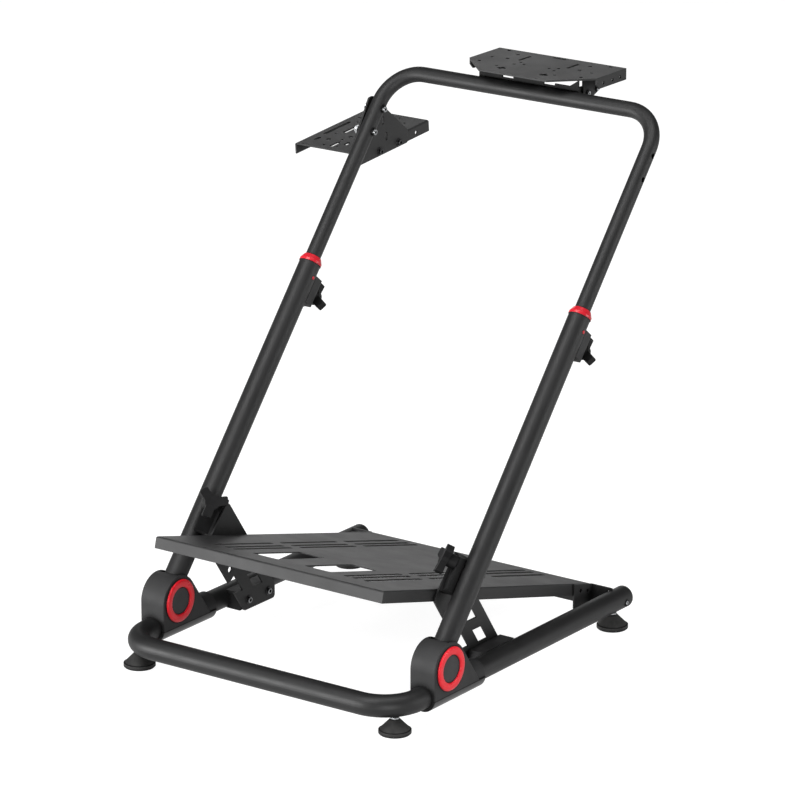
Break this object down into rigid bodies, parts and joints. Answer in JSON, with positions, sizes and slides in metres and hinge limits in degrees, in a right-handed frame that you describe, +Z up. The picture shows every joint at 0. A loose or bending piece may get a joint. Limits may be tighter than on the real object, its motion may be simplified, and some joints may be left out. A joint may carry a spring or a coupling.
{
  "type": "racing wheel stand",
  "caption": "Folding tube stand for a racing wheel and pedals, with a sloping pedal plate, hinged telescopic uprights, a tilting wheel plate and a side shifter plate.",
  "frame": {"origin": "on the floor, at the middle of the whole stand seen from above", "axes": "+X to the right seen from the front, +Y from the front cross tube to the driver's side, +Z up"},
  "size_m": [0.6835, 0.8544, 0.8445],
  "materials": {
    "tube_paint": "satin black powder coat",
    "sheet_paint": "fine textured black powder coat",
    "black_plastic": "matt moulded",
    "red_plastic": "semi-gloss moulded",
    "foot_rubber": "matt moulded",
    "zinc_steel": "zinc plated"
  },
  "bodies": {
    "base": {"base_frame": "tube_paint", "rail_plug_left": "black_plastic", "rail_plug_right": "black_plastic", "foot_stud_front_left": "zinc_steel", "foot_stud_front_right": "zinc_steel", "foot_stud_rear_left": "zinc_steel", "foot_stud_rear_right": "zinc_steel", "foot_pad_front_left": "foot_rubber", "foot_pad_front_right": "foot_rubber", "foot_pad_rear_left": "foot_rubber", "foot_pad_rear_right": "foot_rubber", "housing_left": "black_plastic", "housing_right": "black_plastic", "half_sleeve_left": "black_plastic", "half_sleeve_right": "black_plastic", "pivot_pin_left": "zinc_steel", "pivot_pin_right": "zinc_steel", "hinge_ring_left_outer": "red_plastic", "hinge_ring_left_inner": "red_plastic", "hinge_ring_right_outer": "red_plastic", "hinge_ring_right_inner": "red_plastic", "pedal_plate": "sheet_paint", "rear_bracket_left": "sheet_paint", "rear_bracket_right": "sheet_paint", "strut_left": "sheet_paint", "strut_right": "sheet_paint", "rail_block_left": "black_plastic", "rail_block_right": "black_plastic", "clamp_block_left": "black_plastic", "clamp_block_right": "black_plastic", "clamp_knob_left": "black_plastic", "clamp_knob_right": "black_plastic"},
    "uprights": {"lower_upright_left": "tube_paint", "lower_upright_right": "tube_paint", "collar_left": "red_plastic", "collar_right": "red_plastic", "knob_saddle_left": "black_plastic", "knob_saddle_right": "black_plastic", "height_knob_left": "black_plastic", "height_knob_right": "black_plastic"},
    "upper": {"upper_frame": "tube_paint", "wheel_bracket": "sheet_paint", "shifter_bracket": "sheet_paint", "shifter_plate": "sheet_paint"},
    "wheel_mount": {"wheel_plate": "sheet_paint"}
  },
  "joints": [
    {"name": "fold", "type": "hinge", "parent": "base", "child": "uprights", "pos_m": [0.06, -0.2965, 0.0827], "axis": [-1, 0, 0], "range_deg": [0, 40]},
    {"name": "height", "type": "slide", "parent": "uprights", "child": "upper", "axis": [0, -0.6428, -0.766], "range_m": [0, 0.14]},
    {"name": "wheel_tilt", "type": "hinge", "parent": "upper", "child": "wheel_mount", "pos_m": [0.06, 0.33504, 0.81568], "axis": [-1, 0, 0], "range_deg": [0, 20]}
  ]
}
